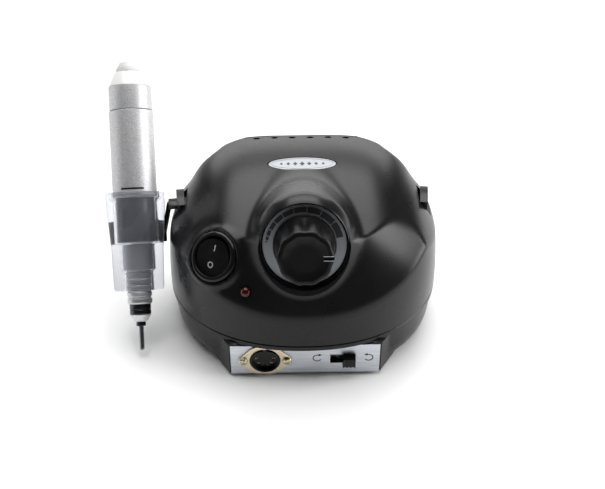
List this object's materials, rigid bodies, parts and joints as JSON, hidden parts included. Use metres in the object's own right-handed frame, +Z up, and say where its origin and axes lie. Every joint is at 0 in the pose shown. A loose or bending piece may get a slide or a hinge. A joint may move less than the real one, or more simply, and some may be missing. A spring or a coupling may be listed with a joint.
{
  "type": "electric nail drill",
  "caption": "Desktop electric nail drill: rounded black control box with speed dial, rocker switch and front socket, and a cylindrical micromotor handpiece leaning in a clip-on rest.",
  "frame": {"origin": "middle of the whole object's footprint, on the plane the rubber feet stand on", "axes": "+X to the right of the control box as its user faces the dial, +Y to its back, +Z up"},
  "size_m": [0.1732, 0.1248, 0.1248],
  "materials": {
    "black_abs": "satin black moulded ABS with a fine grain",
    "gloss_black": "smooth black plastic",
    "steel": "bright steel",
    "dark_steel": "dark blackened steel",
    "aluminium": "bead-blasted anodised aluminium",
    "printed_silver": "brushed grey metal with a black printed scale",
    "brass": "gold-coloured plated metal",
    "copper": "varnished copper winding",
    "rubber": "matt black rubber",
    "board": "green glass-fibre circuit board",
    "silicone": "frosted translucent silicone",
    "blue_black": "dark blue-black anodised or moulded ring",
    "white_abs": "white plastic",
    "grey_pvc": "pale grey flexible plastic",
    "red_lens": "clear red plastic",
    "glass": "clear glass tube"
  },
  "bodies": {
    "control_box": {"upper_shell": "black_abs", "lower_shell": "black_abs", "rocker_bezel": "gloss_black", "rocker_switch_body": "gloss_black", "side_insert_left": "gloss_black", "side_insert_right": "gloss_black", "handpiece_rest": "gloss_black", "socket_insert": "gloss_black", "pedal_jack_body": "gloss_black", "fuse_holder": "gloss_black", "power_transistor": "gloss_black", "front_label_plate": "steel", "badge_plate": "steel", "potentiometer_body": "steel", "direction_switch_body": "steel", "mode_switch_body": "steel", "pedal_jack_nut": "steel", "case_screw_1": "dark_steel", "case_screw_2": "dark_steel", "case_screw_3": "dark_steel", "case_screw_4": "dark_steel", "transformer_core": "dark_steel", "heat_sink": "aluminium", "dial_plate": "printed_silver", "socket_flange": "brass", "socket_screw_left": "brass", "socket_screw_right": "brass", "potentiometer_nut": "brass", "transformer_winding": "copper", "rubber_foot_1": "rubber", "rubber_foot_2": "rubber", "rubber_foot_3": "rubber", "rubber_foot_4": "rubber", "mains_cord_gland": "rubber", "control_board": "board", "smoothing_capacitor": "blue_black", "power_lamp": "red_lens", "fuse": "glass"},
    "knob": {"speed_knob": "black_abs", "potentiometer_shaft": "steel"},
    "power_rocker": {"rocker_paddle": "gloss_black"},
    "direction_slide": {"direction_slider": "gloss_black"},
    "mode_slide": {"mode_slider": "gloss_black"},
    "fuse_cap_body": {"fuse_cap": "gloss_black"},
    "handpiece": {"nose_cone": "steel", "nose_ring": "dark_steel", "nose_body": "steel", "front_bearing": "steel", "rear_bearing": "steel", "grip_sleeve": "silicone", "handpiece_barrel": "aluminium", "motor_can": "steel", "rear_cap": "white_abs", "cord_boot": "grey_pvc"},
    "twist_ring_body": {"twist_ring": "blue_black"},
    "spindle_body": {"spindle": "steel", "collet": "steel", "chuck_nut": "dark_steel", "motor_rotor": "copper"},
    "bit": {"drill_bit": "steel"}
  },
  "joints": [
    {"name": "speed_knob_turn", "type": "hinge", "parent": "control_box", "child": "knob", "pos_m": [0.01576, -0.03778, 0.0744], "axis": [0, -0.9354, 0.3535], "range_deg": [-45, 225]},
    {"name": "power_rocker_tilt", "type": "hinge", "parent": "control_box", "child": "power_rocker", "pos_m": [-0.02742, -0.03155, 0.06265], "axis": [-0.829, 0.5592, 0], "range_deg": [0, 20]},
    {"name": "direction_slide_move", "type": "slide", "parent": "control_box", "child": "direction_slide", "axis": [1, 0, 0], "range_m": [-0.006, 0]},
    {"name": "mode_slide_move", "type": "slide", "parent": "control_box", "child": "mode_slide", "axis": [1, 0, 0], "range_m": [0, 0.0044]},
    {"name": "fuse_cap_turn", "type": "hinge", "parent": "control_box", "child": "fuse_cap_body", "pos_m": [0.03976, 0.05553, 0.0135], "axis": [0, 1, 0], "range_deg": [0, 90]},
    {"name": "handpiece_lift", "type": "slide", "parent": "control_box", "child": "handpiece", "axis": [-0.0349, 0.6153, 0.7875], "range_m": [0, 0.12]},
    {"name": "twist_ring_turn", "type": "hinge", "parent": "handpiece", "child": "twist_ring_body", "pos_m": [-0.0708, 0.00641, 0.05754], "axis": [-0.0349, 0.6153, 0.7875], "range_deg": [0, 60]},
    {"name": "spindle_spin", "type": "hinge", "parent": "handpiece", "child": "spindle_body", "pos_m": [-0.07001, -0.00749, 0.03974], "axis": [-0.0349, 0.6153, 0.7875], "continuous": true},
    {"name": "bit_pull", "type": "slide", "parent": "spindle_body", "child": "bit", "axis": [0.0349, -0.6153, -0.7875], "range_m": [0, 0.025]}
  ]
}
